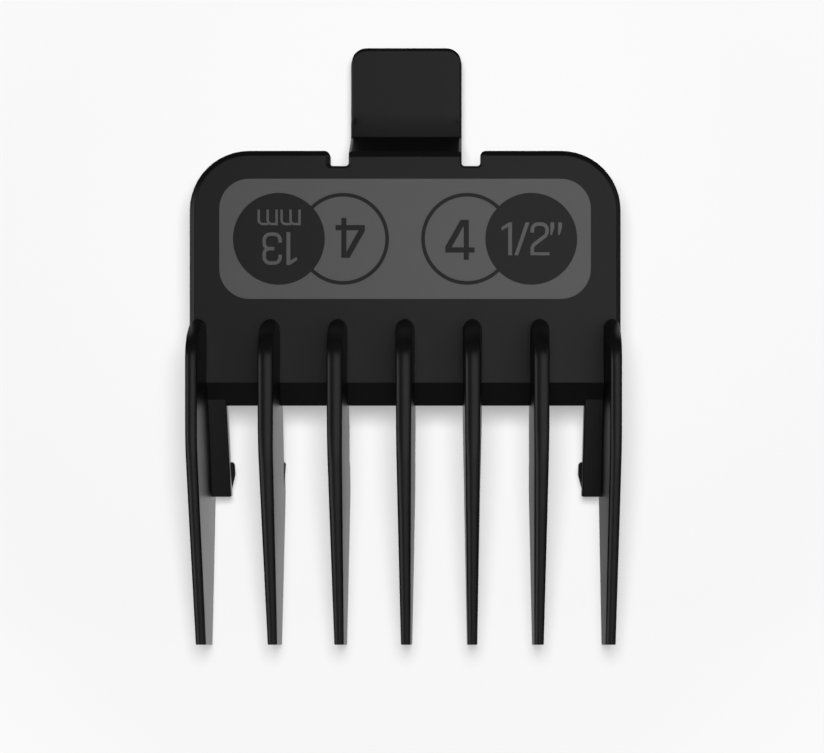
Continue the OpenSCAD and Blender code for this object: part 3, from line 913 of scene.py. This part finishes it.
@dataclass
class Fin:
    """One tall fin: a round nose over the plate, a flat ridge, and a long fall to a blunt tip.

    Its two drafts are those of its left and of its right side.
    """

    ridge: float = 1.64 * MM
    tip: float = 1.06 * MM
    root_drafts: Pair = (0.25 * MM, 0.25 * MM)
    tip_drafts: Pair = (0.05 * MM, 0.05 * MM)
    crown: float = 0.48 * MM
    nose_rise: float = 5.35 * MM
    nose_power: float = 3.4
    slope: float = math.radians(26.6)
    knee: float = 8 * MM
    tip_height: float = 7.8 * MM
    tip_rake: float = 0.65 * MM
    heel_back: float = 2.88 * MM
    seat_slope: float = math.radians(30)
    seat_run: float = 9 * MM
    stop_height: float = 1.6 * MM
    stop_run: float = 0.6 * MM
    belly_ahead: float = 4.6 * MM
    belly_radius: float = 3 * MM
    belly_lift: float = 1.6 * MM
    low_edge: float = 0.12 * MM
    low_steps: int = 3
    crown_clear: float = 0.18 * MM
    tip_edge: float = 0.07 * MM
    rise_steps: int = 33
    nose_steps: int = 14
    nose_start: float = 0.02
    knee_steps: int = 10
    belly_steps: int = 8
    crown_steps: int = 18
    apart: float = 0.02 * MM

    def __post_init__(self) -> None:
        """Reads the fins' places from the frame and works out the points of their side view."""
        low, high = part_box("tooth_4")
        self.nose_y, self.tip_y, self.ridge_z = high.y, low.y, high.z
        self.nose_root = (self.ridge + sum(self.root_drafts)) / 2
        self.upper = self._upper_edge()
        self.lower = self._lower_edge()

    def _upper_edge(self) -> list[Pair]:
        """The nose, the ridge, the knee and the fall to the tip.

        Returns:
            Points in Y and Z, from the nose.
        """
        rise_y = self.nose_y - self.nose_rise
        height = self.ridge_z - PLATE_HIGH.z
        tip_top_y, tip_top_z = self.tip_y + self.tip_rake, self.belly_lift + self.tip_height
        knee_y = tip_top_y + (self.ridge_z - tip_top_z) / math.tan(self.slope)
        centre = (knee_y + self.knee * math.tan(self.slope / 2), self.ridge_z - self.knee)
        quarter = math.pi / 2
        return [
            *[(rise_y + self.nose_rise * t, PLATE_HIGH.z + height * (1 - t**self.nose_power))
              for t in np.linspace(1, 0, self.rise_steps + 1)],
            *arc(centre, self.knee, (quarter, quarter + self.slope), self.knee_steps),
            (self.tip_y, tip_top_z - self.tip_rake * math.tan(self.slope)),
        ]

    def _lower_edge(self) -> list[Pair]:
        """The blade seat, the stop, the belly and the rise to the tip.

        Returns:
            Points in Y and Z, from the nose.
        """
        heel_y = PLATE_LOW.y + self.heel_back
        stop_y = heel_y - self.seat_run
        seat_end = PLATE_LOW.z - self.seat_run * math.tan(self.seat_slope)
        stop_z = seat_end - self.stop_height
        belly_y = stop_y - self.belly_ahead
        inside = (PLATE_HIGH.z + PLATE_LOW.z) / 2
        fall = math.atan2(stop_z, stop_y - self.stop_run - belly_y)
        rise = math.atan2(self.belly_lift, belly_y - self.tip_y)
        down = -math.pi / 2
        return [
            (self.nose_y, inside),
            (heel_y + (inside - PLATE_LOW.z) / math.tan(self.seat_slope), inside),
            (stop_y, seat_end),
            (stop_y - self.stop_run, stop_z),
            *arc((belly_y, self.belly_radius), self.belly_radius, (down + fall, down - rise),
                 self.belly_steps),
            (self.tip_y, self.belly_lift),
        ]

    def _stations(self) -> list[float]:
        """The places along Y where the fin's shape changes, from the nose to the tip.

        Returns:
            The places.
        """
        root = self.ridge / 2 + max(self.root_drafts)
        turn = (self.nose_start, math.pi / 2)
        nose = [y for y, z in arc((self.nose_y - root, 0), root, turn, self.nose_steps)]
        places = sorted({y for y, z in self.upper + self.lower} | set(nose), reverse=True)
        places = [y for y in places if self.tip_y < y <= nose[0]]
        kept = places[:1]
        for y in places[1:]:
            if kept[-1] - y > self.apart:
                kept.append(y)
        return [*kept, self.tip_y]

    def _height(self, edge: Sequence[Pair], y: float) -> float:
        """The height of an edge at y."""
        return float(np.interp(-y, [-p[0] for p in edge], [p[1] for p in edge]))

    def ring(self, y: float) -> np.ndarray:
        """One cross-section.

        Args:
            y: Its place.

        Returns:
            Its points, in X, Y and Z.
        """
        t = min(1.0, max(0.0, (PLATE_LOW.y - y) / (PLATE_LOW.y - self.tip_y)))
        half = (self.ridge + (self.tip - self.ridge) * t) / 2
        left, right = (a + (b - a) * t for a, b in zip(self.root_drafts, self.tip_drafts))
        low, top = self._height(self.lower, y), self._height(self.upper, y)
        shoulder = max(top - self.crown, low + self.crown_clear)
        foot = [(self.low_edge * inset, low + self.low_edge * depth)
                for inset, depth in rounding(self.low_steps)]
        crown = [(half * math.cos(a), shoulder + (top - shoulder) * math.sin(a))
                 for a in np.linspace(0, math.pi, self.crown_steps + 1)]
        section = np.array([*[(half + right - inset, z) for inset, z in reversed(foot)], *crown,
                            *[(inset - half - left, z) for inset, z in foot]])
        beyond = max(0.0, y - (self.nose_y - self.nose_root)) / self.nose_root
        section[:, 0] *= math.sqrt(max(0.0, 1 - beyond**2))
        return np.column_stack([section[:, 0], np.full(len(section), y), section[:, 1]])

    def build(self, name: str, x: float) -> Object:
        """Makes the fin.

        Args:
            name: Its name.
            x: Its place across the comb.

        Returns:
            The fin.
        """
        rings = [self.ring(y) for y in self._stations()]
        last = rings.pop()
        last[:, 1] += (last[:, 2] - self.belly_lift) * self.tip_rake / self.tip_height
        before = last + (0, self.tip_edge, 0)
        middle = last.mean(axis=0)
        reach = np.abs(last - middle).max(axis=0)
        for axis in (0, 2):
            last[:, axis] -= (last[:, axis] - middle[axis]) * self.tip_edge / reach[axis]
        clear = [r for r in rings if r[0, 1] > before[:, 1].max() + self.tip_edge]
        fin = loft(name, [*clear, before, last])
        fin.data.transform(Matrix.Translation((x, 0, 0)))
        return fin


@dataclass
class Comb:
    """The row of seven fins."""

    outer_ridge: float = 1.26 * MM
    outer_tip: float = 1.14 * MM
    outer_draft: float = 0.35 * MM
    tip_draft: float = 0.05 * MM
    sharp: float = 38.0

    def __post_init__(self) -> None:
        """Reads the fins' spacing from the frame."""
        self.inner = [f"tooth_{n}" for n in range(2, 7)]
        self.pitch = middle_x("tooth_4") - middle_x("tooth_3")
        self.outer_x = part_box("tooth_7")[1].x - self.outer_ridge / 2

    def build(self, dresser: Dresser) -> list[Object]:
        """Makes the outer fins one by one, and the inner ones as a row.

        Args:
            dresser: Gives them their finish.

        Returns:
            The three pieces.
        """
        left = Fin(self.outer_ridge, self.outer_tip, (0.0, self.outer_draft), (0.0, self.tip_draft))
        right = Fin(self.outer_ridge, self.outer_tip, (self.outer_draft, 0.0), (self.tip_draft, 0.0))
        pieces = [left.build("left_outer_fin", -self.outer_x), right.build("right_outer_fin", self.outer_x),
                  self._row(Fin().build("inner_fins", 0.0))]
        for piece, nodes in zip(pieces, (["tooth_1"], ["tooth_7"], self.inner)):
            dresser.dress(piece, *nodes, sharp=self.sharp)
        return pieces

    def _row(self, fin: Object) -> Object:
        """Repeats one fin along X with a node tree.

        Args:
            fin: The middle fin, which becomes the row.

        Returns:
            The row.
        """
        group = bpy.data.node_groups.new("fin_row", "GeometryNodeTree")
        kinds = {"Fin": "Geometry", "Count": "Int", "Pitch": "Float", "Finish": "Material"}
        sizes = {"Count": len(self.inner), "Pitch": self.pitch,
                 "Finish": bpy.data.materials[MouldedPlastic.name]}
        sockets = {name: group.interface.new_socket(name, in_out="INPUT", socket_type=f"NodeSocket{kind}")
                   for name, kind in kinds.items()}
        group.interface.new_socket("Row", in_out="OUTPUT", socket_type="NodeSocketGeometry")
        tree = Tree(group)
        given = tree.node("NodeGroupInput").outputs
        pitch, count = Value(tree, given["Pitch"]), Value(tree, given["Count"])
        step = tree.node("ShaderNodeCombineXYZ", {"X": pitch})
        start = tree.node("ShaderNodeCombineXYZ", {"X": (count - 1) * pitch * -0.5})
        line = tree.node("GeometryNodeMeshLine", {"Count": count, "Start Location": start, "Offset": step},
                         mode="OFFSET")
        placed = tree.node("GeometryNodeInstanceOnPoints", {"Points": line, "Instance": given["Fin"]})
        real = tree.node("GeometryNodeRealizeInstances", {"Geometry": placed})
        dressed = tree.node("GeometryNodeSetMaterial", {"Geometry": real, "Material": given["Finish"]})
        tree.node("NodeGroupOutput", {"Row": dressed})
        modifier = fin.modifiers.new("fin_row", "NODES")
        modifier.node_group = group
        for name, value in sizes.items():
            modifier[sockets[name].identifier] = value
        bake(fin)
        return fin


def barb(name: str, outline: Outline, low: float, tops: np.ndarray, edge: float, root: float,
         draft: float) -> Object:
    """A small upright barb with round edges, whose foot stands back a little.

    Args:
        name: Its name.
        outline: Its outline from above.
        low: The height of its foot.
        tops: The height of its top at each point of the outline.
        edge: The rounding of its edges.
        root: The X of its buried root.
        draft: How far its foot stands back, as a share of its reach from the root.

    Returns:
        The barb.
    """
    rings = []
    quarter = rounding(steps=4)
    for inset, depth in reversed(quarter):
        ring = outline.inset(edge * inset)
        ring[:, 0] += (root - ring[:, 0]) * draft
        rings.append(level_ring(ring, low + edge * depth))
    rings += [level_ring(outline.inset(edge * inset), tops - edge * depth) for inset, depth in quarter]
    return loft(name, rings)


@dataclass
class BladeKey:
    """The slim barb on the second fin, which only fits the blade the right way round."""

    proud: float = 0.2 * MM
    shoulder: float = 0.3 * MM
    start_in: float = 0.05 * MM
    ramp: float = 0.05 * MM
    edge: float = 0.04 * MM
    draft: float = 0.08

    def build(self, dresser: Dresser) -> Object:
        """Makes the key.

        Args:
            dresser: Gives it its finish.

        Returns:
            The key.
        """
        low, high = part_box("blade_key")
        middle = middle_x("tooth_2")
        side = middle + Fin().ring((low.y + high.y) / 2)[:, 0].max()
        outline = Outline([
            Corner(middle, low.y, facing=(0, -1)),
            Corner(side - self.start_in, low.y),
            Corner(side + self.proud, high.y, self.shoulder),
            Corner(middle, high.y, facing=(0, 1)),
        ])
        away = np.clip((outline.points[:, 0] - side) / self.proud, 0, 1)
        key = barb("key_barb", outline, low.z, high.z - self.ramp * away, self.edge, middle, self.draft)
        dresser.dress(key, "blade_key")
        return key


@dataclass
class SideGrip:
    """A sloped ledge inside an outer fin, with the hook at its end for the blade's corner."""

    side: Side
    slope: float = math.radians(31)
    lift: float = 0.1 * MM
    end_proud: float = 0.1 * MM
    contact: float = 0.715 * MM
    root_in: float = 1.2 * MM
    edge: float = 0.15 * MM
    edge_steps: int = 6
    hook_edge: float = 0.06 * MM
    hook_ramp: float = 0.08 * MM
    hook_draft: float = 0.065
    hook_bend: float = 0.5
    hook_back: float = 0.05 * MM
    hook_round: float = 0.8 * MM
    hook_tip: float = 0.12 * MM
    shoulder: float = 0.35 * MM

    def __post_init__(self) -> None:
        """Reads the ledge's and the hook's places from the frame."""
        word = self.side.name.lower()
        self.ledge_node, self.hook_node = f"{word}_ledge", f"{word}_hook"
        self.low, self.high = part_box(self.ledge_node)
        self.hook_low, self.hook_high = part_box(self.hook_node)
        self.inner = min(abs(self.low.x), abs(self.high.x))
        self.hook_inner = min(abs(self.hook_low.x), abs(self.hook_high.x))
        self.buried = middle_x("tooth_7")

    def low_z(self, y: float | np.ndarray) -> float | np.ndarray:
        """The height of the ledge's underside at y, a little above the fins' seat for the blade."""
        return PLATE_LOW.z - (PLATE_LOW.y + Fin.heel_back - y) * math.tan(Fin.seat_slope) + self.lift

    def build(self, dresser: Dresser) -> list[Object]:
        """Makes the ledge and its hook, which are drawn on the right.

        Args:
            dresser: Gives them their finish.

        Returns:
            The two pieces.
        """
        pieces = {self.ledge_node: self._ledge(), self.hook_node: self._hook()}
        for node, piece in pieces.items():
            if self.side is Side.LEFT:
                piece.data.transform(Matrix.Scale(-1, 4, (1, 0, 0)))
                tidy(piece)
            dresser.dress(piece, node)
        return list(pieces.values())

    def _ledge(self) -> Object:
        """Makes the ledge.

        Returns:
            The ledge.
        """
        root_y, end_y = PLATE_LOW.y + self.root_in, self.low.y - self.end_proud
        contact_y = PLATE_LOW.y + self.contact
        end_z = self.high.z - (contact_y - end_y) * math.tan(self.slope)
        outline = Outline([
            Corner(root_y, self.high.z, facing=(0, 1)),
            Corner(contact_y, self.high.z),
            Corner(end_y, end_z, self.edge),
            Corner(end_y, self.low_z(end_y), self.edge),
            Corner(root_y, self.low_z(root_y), facing=(0, -1)),
        ])
        rings = [upright_ring(outline.inset(self.edge * depth), self.inner + self.edge * inset)
                 for inset, depth in rounding(self.edge_steps)]
        return loft(f"{self.ledge_node}_bar", [*rings, upright_ring(outline.points, self.buried)])

    def _hook(self) -> Object:
        """Makes the hook, whose top falls towards its tip.

        Returns:
            The hook.
        """
        rear, front = self.hook_high.y, self.hook_low.y
        face = self.hook_inner + self.hook_back
        outline = Outline([
            Corner(self.buried, front, facing=(0, -1)),
            Corner(self.buried, rear, facing=(0, 1)),
            Corner(face, rear, self.shoulder),
            Corner(face, rear + (front - rear) * self.hook_bend, self.hook_round),
            Corner(self.inner, front, self.hook_tip),
        ])
        away = np.clip((self.inner - outline.points[:, 0]) / (self.inner - self.hook_inner), 0, 1)
        tops = self.low_z(outline.points[:, 1]) - self.hook_ramp * away
        return barb(f"{self.hook_node}_barb", outline, self.hook_low.z, tops, self.hook_edge, self.buried,
                    self.hook_draft)


# ---- studio


@dataclass(frozen=True)
class Panel:
    """A soft light panel.

    Attributes:
        name: Its name.
        place: The place of its centre.
        size: Its width and length.
        level: Its brightness, where 1 shows as white.
        back: The direction of its back.
    """

    name: str
    place: Triple
    size: Pair
    level: float
    back: Triple


@dataclass
class Studio:
    """The table, the lamps, the world and the camera."""

    floor_size: float = 3.0
    floor_drop: float = 0.03 * MM
    camera_height: float = 300 * MM
    camera_x: float = 6.14 * MM
    camera_y: float = -6.81 * MM
    lens: float = 122.95
    shift_x: float = -0.0615
    shift_y: float = 0.0407
    key_level: float = 1.006
    key_radius: float = 41 * MM
    key_back: float = 42 * MM
    sky_level: float = 0.03
    gloss_level: float = 0.04
    backdrop: float = 0.957
    panels: tuple[Panel, ...] = (
        Panel("ceiling_panel", (0.68, -0.80, 1.0), (1.6, 2.6), 0.69, (0, 0, 1)),
        Panel("left_panel", (-1.0, -1.0, 0.49), (2.6, 0.74), 1.2, (-1, 0, 0)),
        Panel("right_panel", (1.3, -0.6, 0.3), (3.0, 0.4), 0.27, (1, 0, 0)),
    )

    def build(self) -> None:
        """Makes the studio."""
        self._floor()
        self._world()
        self._key()
        for panel in self.panels:
            self._panel(panel)
        self._camera()

    def _floor(self) -> None:
        """Makes the table top."""
        half, z = self.floor_size / 2, -self.floor_drop
        corners = [(-half, -half, z), (half, -half, z), (half, half, z), (-half, half, z)]
        table = add_mesh("table", corners, [(0, 1, 2, 3)])
        table.data.materials.append(StudioFloor().material())

    def _world(self) -> None:
        """Makes the world: pale behind the comb, dim in its gloss, and even in its diffuse light."""
        world = bpy.data.worlds.new("studio_world")
        bpy.context.scene.world = world
        world.use_nodes = True
        tree = Tree(world.node_tree)
        path = tree.node("ShaderNodeLightPath")
        seen, gloss = tree.value(path, "Is Camera Ray"), tree.value(path, "Is Glossy Ray")
        background = world.node_tree.nodes["Background"].inputs
        tree.feed(background["Color"], grey(1.0))
        tree.feed(background["Strength"],
                  self.sky_level + seen * (self.backdrop - self.sky_level)
                  + gloss * (self.gloss_level - self.sky_level))

    def _lamp(self, name: str, shape: str, energy: float, place: Triple, back: Triple) -> Object:
        """Adds an area lamp that the camera doesn't see.

        Args:
            name: Its name.
            shape: Its shape.
            energy: Its power.
            place: The place of its centre.
            back: The direction of its back.

        Returns:
            The lamp.
        """
        lamp = add_object(name, bpy.data.lights.new(name, "AREA"))
        lamp.visible_camera = False
        lamp.data.shape = shape
        lamp.data.energy = energy
        lamp.location = place
        lamp.rotation_euler = Vector(back).to_track_quat("Z", "Y").to_euler()
        return lamp

    def _key(self) -> None:
        """Adds the round soft key light overhead, which makes the shadow but no hot spot."""
        height = self.camera_height
        key = self._lamp("key_light", "DISK", self.key_level * (math.pi * height) ** 2,
                         (self.camera_x, self.camera_y + self.key_back, height), (0, self.key_back, height))
        key.data.size = 2 * self.key_radius
        key.visible_glossy = False

    def _panel(self, panel: Panel) -> None:
        """Adds a light panel that faces the comb and shows only in its gloss.

        Args:
            panel: The panel.
        """
        width, length = panel.size
        lamp = self._lamp(panel.name, "RECTANGLE", panel.level * width * length * math.pi, panel.place,
                          panel.back)
        lamp.data.size, lamp.data.size_y = width, length
        lamp.visible_diffuse = False

    def _camera(self) -> None:
        """Adds the camera, straight above the comb."""
        data = bpy.data.cameras.new("camera")
        data.lens = self.lens
        data.sensor_width = 36.0
        data.shift_x, data.shift_y = self.shift_x, self.shift_y
        data.clip_start, data.clip_end = 0.01, 20.0
        camera = add_object("camera", data)
        camera.location = (self.camera_x, self.camera_y, PLATE_HIGH.z + self.camera_height)
        bpy.context.scene.camera = camera


def main() -> None:
    """Builds the studio and the comb, piece by piece."""
    logging.basicConfig(level=logging.INFO, format="%(name)s: %(message)s")
    bpy.context.scene.view_settings.view_transform = "Standard"
    dresser = Dresser({Slot.PLASTIC: MouldedPlastic().material(), Slot.INK: PadPrint().material()})
    Studio().build()
    plate = Plate()
    latch = Latch()
    shell = plate.build(dresser)
    bend, *rigid = latch.build(dresser, plate)
    for piece in (shell, bend):
        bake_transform(piece)
    for piece in rigid:
        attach(piece, Body.LATCH.value)
    carried = [*Comb().build(dresser), BladeKey().build(dresser)]
    for side in Side:
        carried += SideGrip(side).build(dresser)
    for piece in carried:
        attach(piece, Body.COMB.value)
    for node in ("size_panel", "metric_marks", "inch_marks"):
        dresser.coat(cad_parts[node], Slot.INK)


if __name__ == "__main__":
    main()
